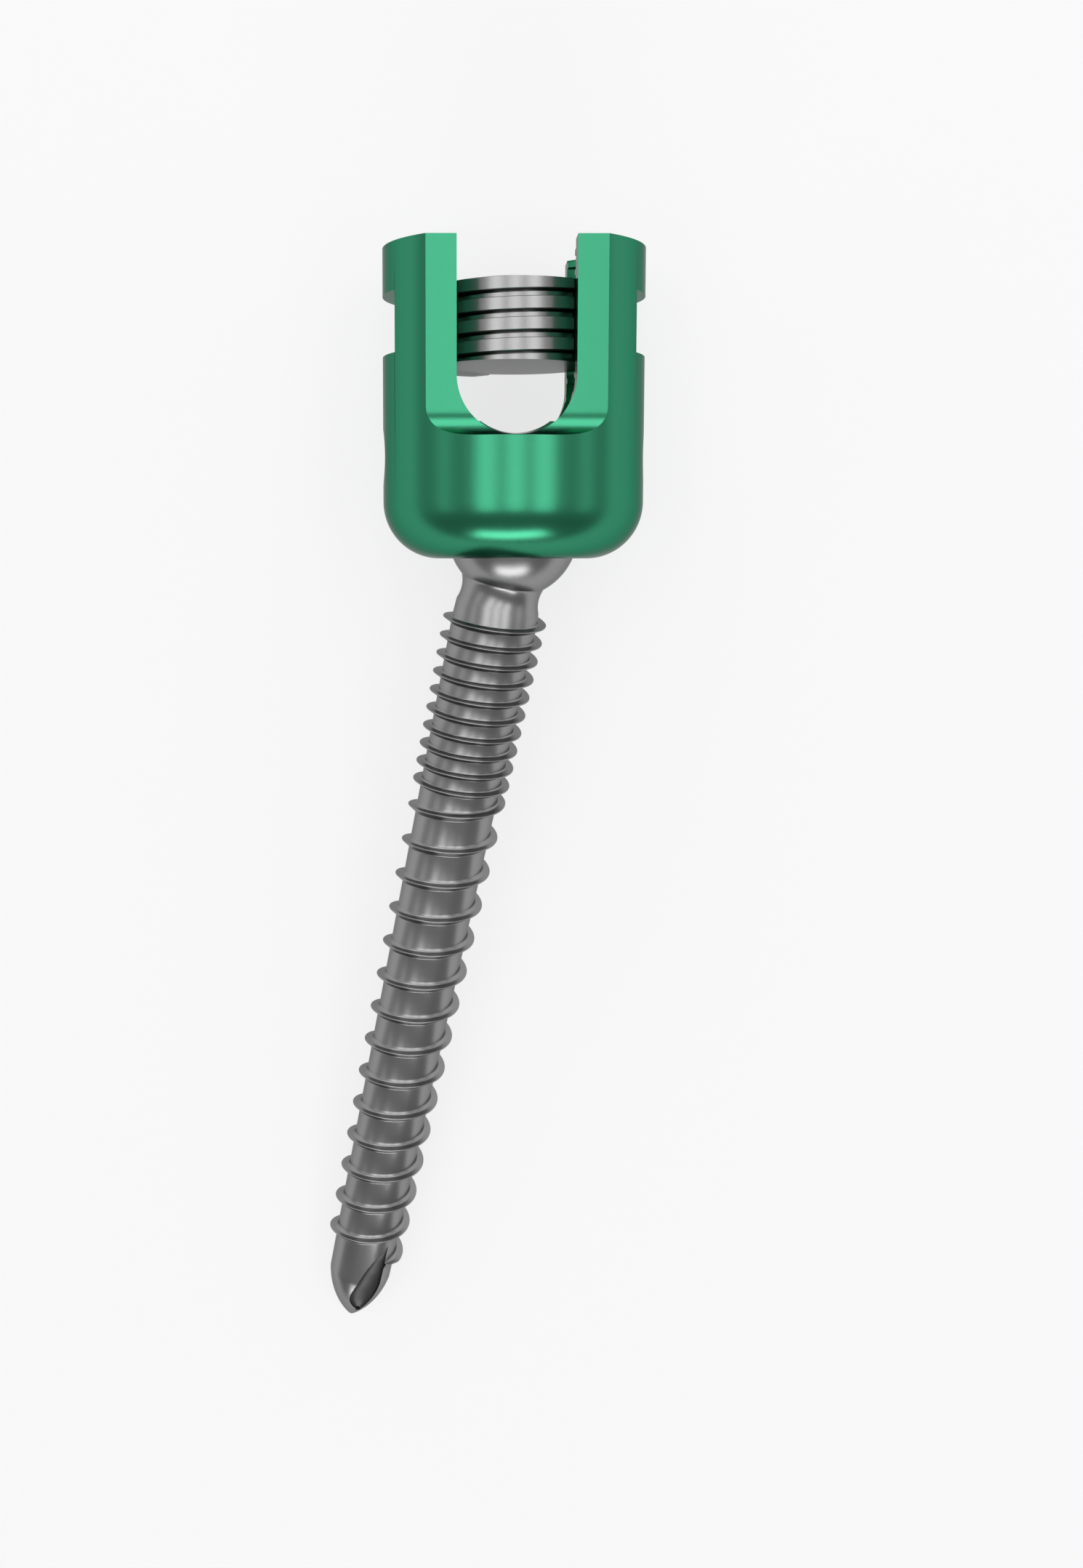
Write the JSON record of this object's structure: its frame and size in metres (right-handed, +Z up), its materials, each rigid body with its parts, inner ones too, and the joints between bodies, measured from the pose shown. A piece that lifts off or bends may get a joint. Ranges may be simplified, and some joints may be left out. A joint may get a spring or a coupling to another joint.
{
  "type": "polyaxial pedicle screw",
  "caption": "Polyaxial pedicle screw: a green U shaped head with a screwed plug, on a ball ended bone screw with a fine then coarse thread, tapering to a fluted tip.",
  "frame": {"origin": "middle of the part's footprint on the table it lies on", "axes": "+Z up from the table, +Y along the part towards the open end of the head, the head's front face up"},
  "size_m": [0.0176, 0.0614, 0.0137],
  "materials": {
    "anodised_green": "satin anodised",
    "titanium": "fine turned",
    "titanium_bright": "bright turned"
  },
  "bodies": {
    "tulip": {"tulip": "anodised_green"},
    "crown": {"crown": "titanium"},
    "bone_screw": {"bone_screw": "titanium"},
    "set_screw": {"set_screw": "titanium_bright"}
  },
  "joints": [
    {"name": "crown_turn", "type": "hinge", "parent": "tulip", "child": "crown", "pos_m": [0.00202, 0.01604, 0.00703], "axis": [0, 0.9978, -0.0664], "continuous": true},
    {"name": "bone_screw_tilt", "type": "hinge", "parent": "crown", "child": "bone_screw", "pos_m": [0.00202, 0.01604, 0.00703], "axis": [0.6582, -0.05, -0.7512], "range_deg": [-40.49, 9.51]},
    {"name": "set_screw_travel", "type": "slide", "parent": "tulip", "child": "set_screw", "axis": [0, 0.9978, -0.0664], "range_m": [-0.002, 0.006]}
  ]
}
